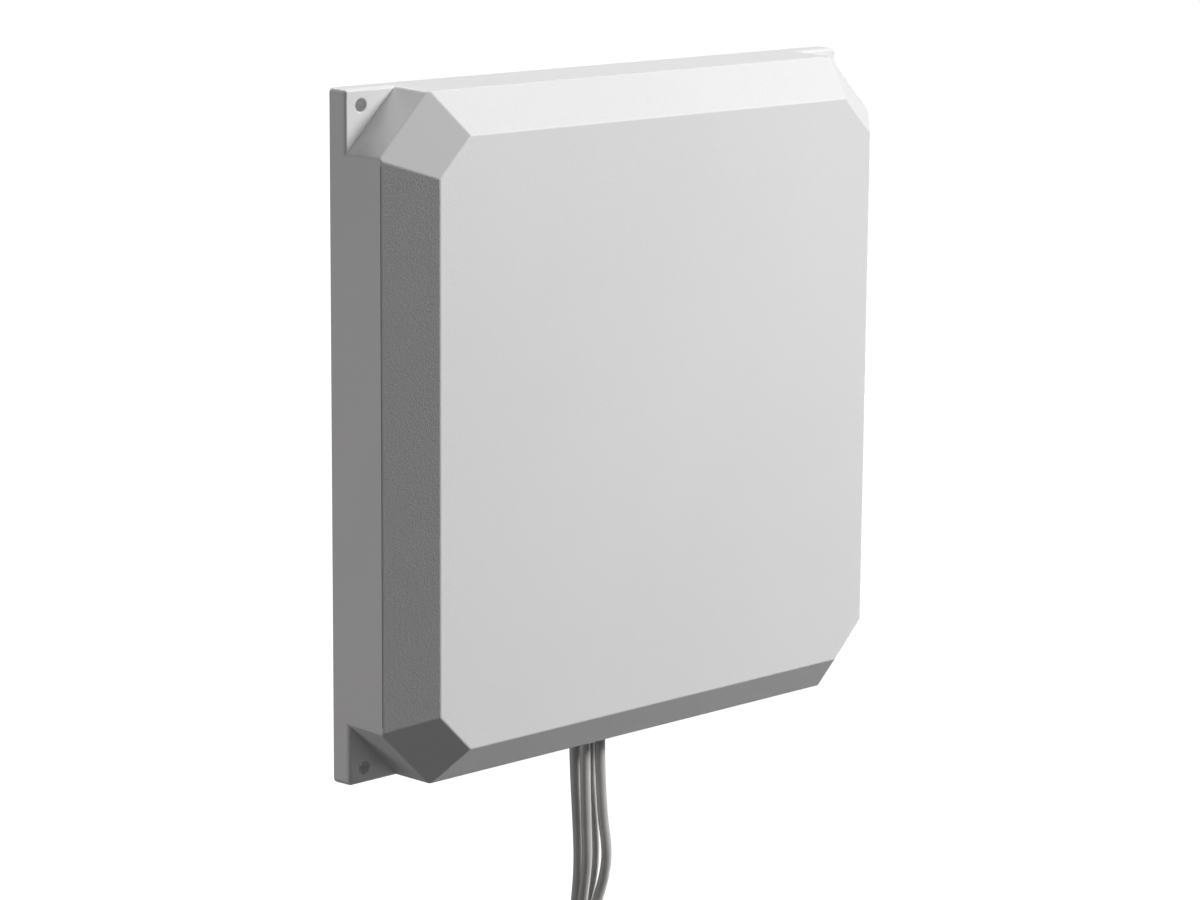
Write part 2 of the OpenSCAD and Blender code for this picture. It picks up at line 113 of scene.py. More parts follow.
def add_camera():
    """From the front left and a little above, with a long lens."""
    yaw, pitch, roll = (math.radians(a) for a in (CAMERA_YAW, CAMERA_PITCH, CAMERA_ROLL))
    toward = Vector((math.sin(yaw) * math.cos(pitch), math.cos(yaw) * math.cos(pitch), -math.sin(pitch)))
    data = bpy.data.cameras.new("camera")
    data.sensor_width = 36.0
    data.lens = CAMERA_LENS
    data.clip_start, data.clip_end = 0.05, 400.0
    camera = bpy.data.objects.new("camera", data)
    camera.location = CAMERA_TARGET * MM - toward * CAMERA_DISTANCE_M
    upright = toward.to_track_quat("-Z", "Y").to_matrix()
    camera.rotation_euler = (upright @ Matrix.Rotation(roll, 3, "Z")).to_euler()
    bpy.context.scene.collection.objects.link(camera)
    bpy.context.scene.camera = camera


add_camera()


# ---------------------------------------------------------------- node helpers
def new_material(name, colour, roughness, metallic=0.0, specular=0.5):
    """A material and its node tree, with the plain values set on the shader's own sockets."""
    material = bpy.data.materials.new(name)
    material.use_nodes = True
    tree = material.node_tree
    shader = tree.nodes["Principled BSDF"]
    shader.inputs["Base Color"].default_value = (*colour, 1.0)
    shader.inputs["Roughness"].default_value = roughness
    shader.inputs["Metallic"].default_value = metallic
    shader.inputs["Specular IOR Level"].default_value = specular
    return material, tree, shader


def coordinates(tree, stretch=(1, 1, 1)):
    """Object coordinates in metres, which are the shared frame's, scaled along each axis."""
    source = tree.nodes.new("ShaderNodeTexCoord")
    mapping = tree.nodes.new("ShaderNodeMapping")
    mapping.inputs["Scale"].default_value = stretch
    tree.links.new(source.outputs["Object"], mapping.inputs["Vector"])
    return mapping.outputs["Vector"]


def noise(tree, vector, scale, detail=2.0, rough=0.5, distortion=0.0):
    node = tree.nodes.new("ShaderNodeTexNoise")
    node.inputs["Scale"].default_value = scale
    node.inputs["Detail"].default_value = detail
    node.inputs["Roughness"].default_value = rough
    node.inputs["Distortion"].default_value = distortion
    tree.links.new(vector, node.inputs["Vector"])
    return node.outputs["Fac"]


def cells(tree, vector, scale):
    """Distance to the nearest edge between cells."""
    node = tree.nodes.new("ShaderNodeTexVoronoi")
    node.feature = "DISTANCE_TO_EDGE"
    node.inputs["Scale"].default_value = scale
    tree.links.new(vector, node.inputs["Vector"])
    return node.outputs["Distance"]


def spread(tree, value, low, high, to_low, to_high):
    """value from low..high mapped to to_low..to_high, and held at the ends."""
    node = tree.nodes.new("ShaderNodeMapRange")
    for name, number in (("From Min", low), ("From Max", high), ("To Min", to_low), ("To Max", to_high)):
        node.inputs[name].default_value = number
    tree.links.new(value, node.inputs["Value"])
    return node.outputs["Result"]


def combine(tree, a, b, operation="ADD"):
    node = tree.nodes.new("ShaderNodeMath")
    node.operation = operation
    for socket, value in zip(node.inputs, (a, b)):
        if isinstance(value, (int, float)):
            socket.default_value = value
        else:
            tree.links.new(value, socket)
    return node.outputs["Value"]


def ramp(tree, value, stops):
    """A colour that follows value through (position, colour) stops."""
    node = tree.nodes.new("ShaderNodeValToRGB")
    elements = node.color_ramp.elements
    while len(elements) < len(stops):
        elements.new(0.5)
    for element, (position, colour) in zip(elements, stops):
        element.position = position
        element.color = (*colour, 1.0)
    tree.links.new(value, node.inputs["Fac"])
    return node.outputs["Color"]


def bump(tree, shader, height, distance, strength=1.0):
    node = tree.nodes.new("ShaderNodeBump")
    node.inputs["Strength"].default_value = strength
    node.inputs["Distance"].default_value = distance
    tree.links.new(height, node.inputs["Height"])
    tree.links.new(node.outputs["Normal"], shader.inputs["Normal"])


def tone(colour, factor):
    return tuple(min(1.0, c * factor) for c in colour)


def colour_by(tree, shader, value, colour, low, high):
    """Base colour that varies a little from colour*low to colour*high."""
    output = ramp(tree, value, ((0.3, tone(colour, low)), (0.7, tone(colour, high))))
    tree.links.new(output, shader.inputs["Base Color"])


def roughness_by(tree, shader, value, rough, glossy):
    """Roughness that goes from rough to glossy as value rises."""
    tree.links.new(spread(tree, value, 0.3, 0.7, rough, glossy), shader.inputs["Roughness"])


# ---------------------------------------------------------------- materials
RADOME_GREY = (0.764, 0.758, 0.766)


def radome_grained(name, relief):
    """Moulded plastic with a fine leather grain: small wandering ridges with pits between them."""
    material, tree, shader = new_material(name, RADOME_GREY, 0.5)
    coords = coordinates(tree)
    wander = noise(tree, coords, 900, 3.0, 0.6, 1.2)
    pits = spread(tree, cells(tree, coords, 1700), 0.0, 0.35, 0.0, 1.0)
    height = combine(tree, combine(tree, wander, 1.4, "MULTIPLY"), combine(tree, pits, 0.35, "MULTIPLY"))
    bump(tree, shader, height, relief, 0.8)
    colour_by(tree, shader, noise(tree, coords, 9, 2.0), RADOME_GREY, 0.985, 1.01)
    roughness_by(tree, shader, wander, 0.58, 0.46)
    return material


def radome_smooth():
    """The same plastic from a satin-finished mould, with a very fine texture."""
    material, tree, shader = new_material("radome_smooth", RADOME_GREY, 0.4)
    coords = coordinates(tree)
    fine = noise(tree, coords, 3200, 2.0, 0.6)
    bump(tree, shader, fine, 0.00002, 0.5)
    colour_by(tree, shader, noise(tree, coords, 14, 2.0), RADOME_GREY, 0.985, 1.01)
    roughness_by(tree, shader, fine, 0.44, 0.38)
    return material


def brushed_metal(name, colour, stretch, roughness):
    """Sheet or turned metal with fine lines along one axis and faint cloudy stains."""
    material, tree, shader = new_material(name, colour, roughness, 1.0)
    lines = noise(tree, coordinates(tree, stretch), 60, 4.0, 0.7)
    clouds = noise(tree, coordinates(tree), 25, 3.0)
    bump(tree, shader, lines, 0.00002, 0.5)
    colour_by(tree, shader, clouds, colour, 0.9, 1.04)
    roughness_by(tree, shader, lines, roughness + 0.08, roughness - 0.06)
    return material


def plated_metal(name, colour, roughness):
    """Small plated or turned parts: fine grain, slightly uneven gloss."""
    material, tree, shader = new_material(name, colour, roughness, 1.0)
    coords = coordinates(tree)
    grain = noise(tree, coords, 2600, 3.0, 0.6)
    bump(tree, shader, grain, 0.000006, 0.4)
    colour_by(tree, shader, noise(tree, coords, 160, 3.0), colour, 0.95, 1.03)
    roughness_by(tree, shader, grain, roughness + 0.07, roughness - 0.05)
    return material


def rubber(name, colour, roughness, grain_scale=1800):
    """Matt moulded rubber with a fine pitted skin and dusty patches."""
    material, tree, shader = new_material(name, colour, roughness, 0.0, 0.35)
    coords = coordinates(tree)
    grain = noise(tree, coords, grain_scale, 3.0, 0.65)
    bump(tree, shader, grain, 0.00006, 0.6)
    colour_by(tree, shader, noise(tree, coords, 60, 3.0), colour, 0.85, 1.2)
    roughness_by(tree, shader, grain, roughness + 0.08, roughness - 0.08)
    return material


def nylon(name, colour):
    """Waxy, slightly see-through moulded nylon."""
    material, tree, shader = new_material(name, colour, 0.38)
    shader.inputs["Subsurface Weight"].default_value = 0.15
    shader.inputs["Subsurface Radius"].default_value = (0.002, 0.0018, 0.0014)
    coords = coordinates(tree)
    grain = noise(tree, coords, 900, 2.0)
    bump(tree, shader, grain, 0.00003, 0.5)
    colour_by(tree, shader, noise(tree, coords, 80, 2.0), colour, 0.96, 1.03)
    roughness_by(tree, shader, grain, 0.42, 0.34)
    return material


def cable_jacket():
    """Extruded grey jacket: satin, with faint draw marks and handling scuffs."""
    colour = (0.56, 0.555, 0.545)
    material, tree, shader = new_material("cable_jacket", colour, 0.36)
    coords = coordinates(tree)
    marks = noise(tree, coordinates(tree, (1, 1, 0.06)), 900, 3.0, 0.6)
    bump(tree, shader, marks, 0.00004, 0.5)
    colour_by(tree, shader, noise(tree, coords, 70, 3.0), colour, 0.93, 1.05)
    roughness_by(tree, shader, noise(tree, coords, 300, 3.0), 0.44, 0.32)
    return material


def film(name, colour, roughness, scale):
    """Thin film with a faint fibrous or printed-stock texture."""
    material, tree, shader = new_material(name, colour, roughness)
    coords = coordinates(tree)
    fibre = noise(tree, coords, scale, 4.0, 0.7, 0.6)
    bump(tree, shader, fibre, 0.00002, 0.5)
    colour_by(tree, shader, noise(tree, coords, scale / 12, 2.0), colour, 0.96, 1.02)
    roughness_by(tree, shader, fibre, roughness + 0.06, roughness - 0.06)
    return material


MATERIALS = {
    "radome_plastic": radome_smooth(),
    "plate_aluminium": brushed_metal("plate_aluminium", (0.74, 0.75, 0.76), (1, 1, 30), 0.36),
    "seal_rubber": rubber("seal_rubber", (0.045, 0.045, 0.05), 0.6),
    "screw_steel": plated_metal("screw_steel", (0.66, 0.67, 0.68), 0.26),
    "insert_brass": plated_metal("insert_brass", (0.78, 0.58, 0.26), 0.3),
    "label_film": film("label_film", (0.86, 0.86, 0.85), 0.5, 1400),
    "vent_film": film("vent_film", (0.85, 0.85, 0.85), 0.8, 2500),
    "patch_metal": brushed_metal("patch_metal", (0.80, 0.80, 0.77), (30, 1, 1), 0.3),
    "nylon": nylon("nylon", (0.84, 0.81, 0.73)),
    "contact_gold": plated_metal("contact_gold", (0.90, 0.66, 0.25), 0.2),
    "gland_rubber": rubber("gland_rubber", (0.05, 0.05, 0.052), 0.62),
    "cable_jacket": cable_jacket(),
    "tie_nylon": nylon("tie_nylon", (0.80, 0.79, 0.74)),
    "sleeve_rubber": rubber("sleeve_rubber", (0.022, 0.022, 0.023), 0.5, 1200),
    "plug_nickel": plated_metal("plug_nickel", (0.72, 0.70, 0.66), 0.3),
    "insulator_white": nylon("insulator_white", (0.88, 0.88, 0.87)),
}
FRONT_GRAIN = radome_grained("radome_front", 0.00007)
BEVEL_GRAIN = radome_grained("radome_bevel", 0.00018)


def dress_cad_nodes():
    """Every CAD node takes its slot's material, and its crisp edges get a small round."""
    for part in frame["record"]["subparts"]:
        node = frame["nodes"][part["node"]]
        node.data.materials.clear()
        node.data.materials.append(MATERIALS[part["material_slot"]])
        weld = node.modifiers.new("weld", "WELD")
        weld.merge_threshold = 1e-6
        rounds = node.modifiers.new("rounds", "BEVEL")
        rounds.limit_method = "ANGLE"
        rounds.angle_limit = math.radians(40)
        rounds.width = EDGE_ROUNDS.get(part["node"], 0.15) * MM
        rounds.segments = 2


# ---------------------------------------------------------------- mesh helpers
def make_object(name, mesh, slot, body=ROOT):
    """A piece with its slot's material that rides on a body."""
    piece = bpy.data.objects.new(name, mesh)
    bpy.context.scene.collection.objects.link(piece)
    mesh.materials.append(MATERIALS[slot])
    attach(piece, body)
    return piece


def smooth_by_angle(mesh, degrees=30.0):
    """Smooth shading with edges sharper than the angle kept sharp."""
    mesh.polygons.foreach_set("use_smooth", [True] * len(mesh.polygons))
    bm = bmesh.new()
    bm.from_mesh(mesh)
    for edge in bm.edges:
        edge.smooth = len(edge.link_faces) == 2 and edge.calc_face_angle(0.0) < math.radians(degrees)
    bm.to_mesh(mesh)
    bm.free()


def to_mesh(bm, name):
    mesh = bpy.data.meshes.new(name)
    bmesh.ops.recalc_face_normals(bm, faces=bm.faces)
    bm.to_mesh(mesh)
    bm.free()
    return mesh


def turned(bm, place, profile, sides=48, flutes=0, limit=None):
    """Adds a solid turned about a vertical axis that starts at place, from a closed profile in mm.
    Each profile point is (radius, distance below place), and may have the depth of the flutes there."""
    rings = []
    for i in range(sides):
        turn = 2 * math.pi * i / sides
        wave = (1 - math.cos(flutes * turn)) / 2
        ring = []
        for radius, below, *dent in profile:
            radius -= wave * dent[0] if dent else 0.0
            if limit:
                radius = min(radius, limit(turn))
            spoke = Vector((radius * math.cos(turn), radius * math.sin(turn), -below))
            ring.append(bm.verts.new((place + spoke) * MM))
        rings.append(ring)
    count = len(profile)
    for near, far in zip(rings, [*rings[1:], rings[0]]):
        for j in range(count):
            bm.faces.new((near[j], far[j], far[(j + 1) % count], near[(j + 1) % count]))
    bmesh.ops.remove_doubles(bm, verts=bm.verts, dist=1e-6)


# ---------------------------------------------------------------- cables
# Leads from the gland to the coil and tails from the coil to the plugs, in mm, as in the CAD
LEAD_ROUTES = (
    ((-17, -11.5, -150), (-17, -11.5, -162), (-16.6, -12, -178), (-16, -12.6, -194), (-15.5, -13, -210),
     (-15, -12.2, -222), (-14.2, -10.3, -233), (-13.2, -8.2, -244), (-13, -7.5, -254), (-14.4, -7.5, -262),
     (-18.3, -7.5, -268.4)),
    ((-17, -18.5, -150), (-17, -18.5, -162), (-16.8, -18.7, -178), (-16.5, -19.1, -194), (-16.2, -19.4, -210),
     (-15.9, -17.9, -222), (-15, -15.4, -233), (-13.6, -13.3, -244), (-13, -12.6, -254), (-14.4, -12.6, -262),
     (-18.3, -12.6, -268.4)),
    ((-7.5, -11.5, -150), (-7.5, -11.5, -162), (-7, -11.9, -178), (-6.3, -12.5, -194), (-5.6, -13.1, -210),
     (-5.7, -12.2, -222), (-6.4, -10.2, -233), (-7.6, -8.1, -244), (-8, -7.5, -254), (-9.6, -7.5, -263.4),
     (-14.4, -7.5, -271.7)),
    ((-7.5, -18.5, -150), (-7.5, -18.5, -162), (-6.9, -18.7, -178), (-5.9, -19.2, -194), (-4.6, -20.3, -210),
     (-4.4, -18.7, -222), (-5.4, -16, -233), (-7.2, -13.5, -244), (-8, -12.6, -254), (-9.6, -12.6, -263.4),
     (-14.4, -12.6, -271.7)),
)
TAIL_ROUTES = (
    ((-41.6, -23.2, -322), (-40.6, -25.5, -334), (-38.8, -29.8, -348), (-38, -32, -360), (-38, -32, -372)),
    ((-41.6, -17.7, -322), (-40.6, -17.3, -334), (-38.8, -16.4, -347), (-38, -16, -358), (-38, -16, -370)),
    ((-47, -23.2, -322), (-48.8, -25.5, -334), (-52.6, -29.8, -347), (-54, -32, -358), (-54, -32, -370)),
    ((-47, -17.7, -322), (-48.8, -17.3, -334), (-52.6, -16.4, -349), (-54, -16, -361), (-54, -16, -373)),
)
COIL_CENTRE = Vector((-1.75, -15.1, -312.5))
COIL_OUTER_TURN, COIL_PITCH = 42.5, 10.2
# The bundle lies two layers wide and two deep. It is in the outer back layer first, then the inner
# back, the inner front and the outer front one. (start, end) of each move to the next, in degrees.
COIL_START, COIL_END = 120.0, 1260.0
TO_INNER, TO_FRONT, TO_OUTER = (420.0, 460.0), (700.0, 780.0), (1040.0, 1080.0)
# Each cable's place in the bundle: outward, forward
BUNDLE = ((1, -1), (1, 1), (-1, -1), (-1, 1))
LANE = 2.55


def ease(turn, window):
    """0 before the window, 1 after it and a smooth step inside."""
    t = min(1.0, max(0.0, (turn - window[0]) / (window[1] - window[0])))
    return t * t * (3 - 2 * t)


def coil_points(n, step=6.0):
    """One cable's turns in the coil. The bundle rolls over half way, so that all four are equally long."""
    points = []
    out, ahead = BUNDLE[n]
    count = int((COIL_END - COIL_START) / step)
    for i in range(count + 1):
        turn = COIL_START + i * step
        inward = ease(turn, TO_INNER) - ease(turn, TO_OUTER)
        forward = ease(turn, TO_FRONT)
        roll = math.pi * forward
        squeeze = 1.3 * math.sin(math.pi * forward)
        radius = COIL_OUTER_TURN - COIL_PITCH * inward - squeeze
        radius += LANE * (out * math.cos(roll) - ahead * math.sin(roll))
        depth = COIL_PITCH * (forward - 0.5) + LANE * (out * math.sin(roll) + ahead * math.cos(roll))
        angle = math.radians(turn)
        points.append(COIL_CENTRE + Vector((radius * math.cos(angle), -depth, radius * math.sin(angle))))
    return points


def smooth_route(points, per_span=6):
    """Catmull-Rom curve through listed points."""
    points = [Vector(p) for p in points]
    ends = [2 * points[0] - points[1], *points, 2 * points[-1] - points[-2]]
    curve = []
    for a, b, c, d in zip(ends, ends[1:], ends[2:], ends[3:]):
        for i in range(per_span):
            t = i / per_span
            curve.append(0.5 * (2 * b + (c - a) * t + (2 * a - 5 * b + 4 * c - d) * t**2
                                + (3 * b - a - 3 * c + d) * t**3))
    return [*curve, points[-1]]


def cable_path(n):
    """The whole centreline in metres: lead, coil and tail."""
    coil = coil_points(n)
    lead = smooth_route([*LEAD_ROUTES[n], coil[0], coil[2]])
    tail = smooth_route([coil[-3], coil[-1], *TAIL_ROUTES[n]])
    return [p * MM for p in [*lead[:-1], *coil[2:-3], *tail]]


def add_cable(n):
    path = cable_path(n)
    data = bpy.data.curves.new(f"cable_run_{n + 1}", "CURVE")
    data.dimensions = "3D"
    data.bevel_depth = CABLE_RADIUS * MM
    data.bevel_resolution = 5
    data.use_fill_caps = True
    spline = data.splines.new("POLY")
    spline.points.add(len(path) - 1)
    for point, place in zip(spline.points, path):
        point.co = (*place, 1.0)
    spline.use_smooth = True
    data.materials.append(MATERIALS["cable_jacket"])
    cable = bpy.data.objects.new(data.name, data)
    bpy.context.scene.collection.objects.link(cable)
    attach(cable, ROOT)
    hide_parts(f"cable_{n + 1}", "cable_coil")
    return cable


cables = [add_cable(n) for n in range(4)]
dress_cad_nodes()


# ---------------------------------------------------------------- moulded cover
def at(x, z, depth):
    """A place on the panel, in metres, from mm across, mm up and mm out of the wall."""
    return Vector((x, -depth, z)) * MM


def half_at(depth):
    return RIM_HALF - SIDE_DRAFT * depth


def octagon(half, corner):
    """The eight corners (x, z) of a square of that half width, cut off where |x| + |z| = corner."""
    cut = corner - half
    return [(half, -cut), (half, cut), (cut, half), (-cut, half),
            (-half, cut), (-half, -cut), (-cut, -half), (cut, -half)]


def loft(levels):
    """A bmesh through several octagons, each (half width, corner sum, depth)."""
    bm = bmesh.new()
    rings = [[bm.verts.new(at(x, z, depth)) for x, z in octagon(half, corner)]
             for half, corner, depth in levels]
    for near, far in zip(rings, rings[1:]):
        for j in range(8):
            bm.faces.new((near[j], near[(j + 1) % 8], far[(j + 1) % 8], far[j]))
    bm.faces.new(rings[0])
    bm.faces.new(rings[-1])
    return bm


def add_prism(bm, outline, low, high, place):
    """A prism from a closed outline of (u, v) points between two heights, put in place by a function."""
    bottom = [bm.verts.new(place(u, v, low)) for u, v in outline]
    top = [bm.verts.new(place(u, v, high)) for u, v in outline]
    count = len(outline)
    bm.faces.new(bottom)
    bm.faces.new(top)
    for j in range(count):
        bm.faces.new((bottom[j], bottom[(j + 1) % count], top[(j + 1) % count], top[j]))


def circle(radius, sides=48, centre=(0.0, 0.0)):
    turns = [2 * math.pi * i / sides for i in range(sides)]
    return [(centre[0] + radius * math.cos(t), centre[1] + radius * math.sin(t)) for t in turns]


def rounded(wide, high, radius, steps=8):
    """Outline of a rectangle with round corners, centred on the origin."""
    points = []
    for i, (sx, sz) in enumerate(((1, 1), (-1, 1), (-1, -1), (1, -1))):
        for j in range(steps + 1):
            turn = math.radians(90 * (i + j / steps))
            points.append((sx * (wide / 2 - radius) + radius * math.cos(turn),
                           sz * (high / 2 - radius) + radius * math.sin(turn)))
    return points


def applied(item, name):
    """The mesh of an object with its modifiers carried out; the object itself is removed."""
    graph = bpy.context.evaluated_depsgraph_get()
    result = bpy.data.meshes.new_from_object(item.evaluated_get(graph))
    result.name = name
    bpy.data.objects.remove(item)
    return result


def cut(mesh, cutter):
    """mesh with cutter's volume taken away, by an exact boolean."""
    target = bpy.data.objects.new("cut_target", mesh)
    tool = bpy.data.objects.new("cut_tool", cutter)
    for item in (target, tool):
        bpy.context.scene.collection.objects.link(item)
    modifier = target.modifiers.new("cut", "BOOLEAN")
    modifier.object = tool
    modifier.operation = "DIFFERENCE"
    modifier.solver = "EXACT"
    result = applied(target, "cut_result")
    bpy.data.objects.remove(tool)
    for old in (mesh, cutter):
        bpy.data.meshes.remove(old)
    return result


def corner_points(bm, sx, sz):
    """The outer skin's vertices at one corner."""
    bevel_sum = FACE_CORNER_SUM + CORNER_SLOPE * (PANEL_DEPTH - SIDE_CREASE)
    h_lug, h_corner = half_at(LUG), half_at(CORNER_CREASE)

    def put(x, z, depth):
        return bm.verts.new(at(sx * x, sz * z, depth))

    return {
        "back": put(RIM_HALF, RIM_HALF, 0),
        "lug": put(h_lug, h_lug, LUG),
        "foot_x": put(h_lug, CORNER_SUM - h_lug, LUG),
        "foot_z": put(CORNER_SUM - h_lug, h_lug, LUG),
        "crease_x": put(h_corner, CORNER_SUM - h_corner, CORNER_CREASE),
        "crease_z": put(CORNER_SUM - h_corner, h_corner, CORNER_CREASE),
        "bevel_x": put(CREASE_HALF, bevel_sum - CREASE_HALF, SIDE_CREASE),
        "bevel_z": put(bevel_sum - CREASE_HALF, CREASE_HALF, SIDE_CREASE),
        "face_x": put(FACE_HALF, FACE_CORNER_SUM - FACE_HALF, PANEL_DEPTH),
        "face_z": put(FACE_CORNER_SUM - FACE_HALF, FACE_HALF, PANEL_DEPTH),
    }


def outer_skin():
    """The cover's outside as a closed solid with rounded edges."""
    bm = bmesh.new()
    corners = {(sx, sz): corner_points(bm, sx, sz) for sx in (-1, 1) for sz in (-1, 1)}
    around = [corners[key] for key in ((1, -1), (1, 1), (-1, 1), (-1, -1))]
    bm.faces.new([c["back"] for c in around])
    up = ("back", "lug", "foot", "crease", "bevel")
    for s in (-1, 1):
        for axis, low, high in (("x", corners[s, -1], corners[s, 1]), ("z", corners[-1, s], corners[1, s])):
            def names(corner):
                return [corner[n] if n in corner else corner[f"{n}_{axis}"] for n in up]
            bm.faces.new([*names(low), *reversed(names(high))])
            bm.faces.new([low[f"bevel_{axis}"], low[f"face_{axis}"],
                          high[f"face_{axis}"], high[f"bevel_{axis}"]])
    for c in around:
        bm.faces.new([c["lug"], c["foot_x"], c["foot_z"]])
        bm.faces.new([c["foot_x"], c["crease_x"], c["crease_z"], c["foot_z"]])
        bm.faces.new([c[n] for n in ("crease_x", "bevel_x", "face_x", "face_z", "bevel_z", "crease_z")])
    front = []
    for c, first in zip(around, ("z", "x", "z", "x")):
        second = "x" if first == "z" else "z"
        front += [c[f"face_{first}"], c[f"face_{second}"]]
    bm.faces.new(front)
    bmesh.ops.recalc_face_normals(bm, faces=bm.faces)
    weights = bm.edges.layers.float.new("bevel_weight_edge")
    for edge in bm.edges:
        edge[weights] = edge_round(edge) / WIDEST_ROUND
    target = bpy.data.objects.new("skin", to_mesh(bm, "skin"))
    bpy.context.scene.collection.objects.link(target)
    rounds = target.modifiers.new("rounds", "BEVEL")
    rounds.limit_method = "WEIGHT"
    rounds.width = WIDEST_ROUND * MM
    rounds.segments = 6
    return applied(target, "radome_shell")


def edge_round(edge):
    """How far an edge of the outer skin is rounded, in mm."""
    near, far = (-v.co.y / MM for v in edge.verts)
    turn = math.degrees(edge.calc_face_angle_signed(0.0))
    if turn < 14:
        return 0.0
    if max(near, far) < 0.1:
        return REAR_ROUND
    if min(near, far) < 0.1:
        return WIDEST_ROUND
    if max(near, far) < LUG + 0.1:
        return LUG_ROUND
    return CRISP_ROUND


def cavity():
    """The hollow inside, with the screw bosses left standing in it."""
    side_root = WALL * math.sqrt(2)
    bevel_half = FACE_HALF - FRONT_WALL * SIDE_NORM
    bevel_sum = FACE_CORNER_SUM - FRONT_WALL * CORNER_NORM
    inner_front = PANEL_DEPTH - FRONT_WALL

    def level(depth):
        half = min(half_at(depth) - WALL, bevel_half + SIDE_SLOPE * (PANEL_DEPTH - depth))
        corner = min(CORNER_SUM - side_root, bevel_sum + CORNER_SLOPE * (PANEL_DEPTH - depth))
        return half, corner, depth

    corner_turn = PANEL_DEPTH - (CORNER_SUM - side_root - bevel_sum) / CORNER_SLOPE
    side_turn = (bevel_half + SIDE_SLOPE * PANEL_DEPTH - RIM_HALF + WALL) / (SIDE_SLOPE - SIDE_DRAFT)
    hollow = to_mesh(loft([level(d) for d in (LEDGE, corner_turn, side_turn, inner_front)]), "cavity")
    bosses = bmesh.new()
    for x, z in screw_places():
        add_prism(bosses, circle(BOSS_RADIUS, 32, (x, z)), PLATE_FRONT - 1, PANEL_DEPTH, at)
    return cut(hollow, to_mesh(bosses, "bosses"))


def screw_places():
    signs = [(sx, sz) for sx in (-1, 1) for sz in (-1, 1)]
    return [(sx * SCREW_LINE, sz * SCREW_SIDE) for sx, sz in signs] + [
        (sx * SCREW_SIDE, sz * SCREW_LINE) for sx, sz in signs]


def hole_tools():
    """Everything that is drilled or cut through the cover's walls."""
    bm = bmesh.new()
    for sx in (-1, 1):
        for sz in (-1, 1):
            centre = (sx * HOLE_X, sz * HOLE_Z)
            rings = []
            for radius, depth in ((SINK_RADIUS, -1.0), (SINK_RADIUS, 0.0), (HOLE_RADIUS, SINK_DEPTH),
                                  (HOLE_RADIUS, LUG - CHAMFER_DEPTH), (HOLE_RADIUS + HOLE_CHAMFER, LUG + 0.02),
                                  (HOLE_RADIUS + HOLE_CHAMFER, LUG + 1)):
                rings.append([bm.verts.new(at(x, z, depth)) for x, z in circle(radius, HOLE_SIDES, centre)])
            for near, far in zip(rings, rings[1:]):
                for j in range(HOLE_SIDES):
                    after = (j + 1) % HOLE_SIDES
                    bm.faces.new((near[j], near[after], far[after], far[j]))
            bm.faces.new(rings[0])
            bm.faces.new(rings[-1])
    for x, z in screw_places():
        add_prism(bm, circle(INSERT_RADIUS, 24, (x, z)), 0.2, INSERT_END, at)
    mouth = rounded(GLAND_WIDE, GLAND_THICK, GLAND_ROUND)
    add_prism(bm, mouth, 140, 160, lambda u, v, h: at(GLAND_X + u, -h, GLAND_DEPTH + v))
    # A fine parting groove along each straight crease: across the sides, then across top and bottom
    for s in (-1, 1):
        low, high = sorted((s * (CREASE_HALF - GROOVE_INSIDE), s * (CREASE_HALF + GROOVE_OUTSIDE)))
        outline = [(low, -GROOVE_REACH), (high, -GROOVE_REACH), (high, GROOVE_REACH), (low, GROOVE_REACH)]
        for place in (at, lambda x, z, depth: at(z, x, depth)):
            add_prism(bm, outline, SIDE_CREASE - GROOVE_BACK, SIDE_CREASE - GROOVE_FRONT, place)
    return to_mesh(bm, "hole_tools")


def add_radome():
    mesh = cut(outer_skin(), cavity())
    rebate_half, rebate_corner = half_at(LEDGE) - REBATE_WALL, CORNER_SUM - REBATE_WALL * math.sqrt(2)
    rebate = loft([(rebate_half, rebate_corner, depth) for depth in (-1, LEDGE + 0.01)])
    mesh = cut(mesh, to_mesh(rebate, "rebate"))
    mesh = cut(mesh, hole_tools())
    mesh.name = "radome_shell"
    mesh.materials.clear()
    shell = make_object("radome_shell", mesh, "radome_plastic")
    mesh.materials.append(FRONT_GRAIN)
    mesh.materials.append(BEVEL_GRAIN)
    for face in mesh.polygons:
        cornerwise = min(abs(face.normal.x), abs(face.normal.z)) > 0.3
        if -face.center.y / MM > CORNER_CREASE and face.normal.y < -0.3 and not cornerwise:
            face.material_index = 1 if face.normal.y < -0.9 else 2
        else:
            face.material_index = 0
    smooth_by_angle(mesh, 32)
    normals = shell.modifiers.new("weighted normals", "WEIGHTED_NORMAL")
    normals.keep_sharp = True
    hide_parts("radome")


add_radome()


# ---------------------------------------------------------------- plugs
# Distances along a plug run down from its cable end, in mm, as in the CAD
CABLE_IN = 12.0
PLUG_PLACES = [Vector(route[-1]) + Vector((0, 0, CABLE_IN)) for route in TAIL_ROUTES]
HEX_FLAT = 5.6 * math.cos(math.pi / 6)
SLEEVE_WAVES = ((0.0, 2.95), (0.15, 3.2), (0.6, 3.33), (2.0, 3.36), (3.2, 3.29), (4.4, 3.37), (5.8, 3.28),
                (7.0, 3.36), (8.3, 3.3), (9.6, 3.38), (10.8, 3.34), (11.8, 3.46), (13.0, 3.5), (15.2, 3.5),
                (15.7, 3.42), (16.0, 3.15))


def hexagon(turn):
    """Radius of the hexagon's side in a direction."""
    return HEX_FLAT / math.cos((turn % (math.pi / 3)) - math.pi / 6)


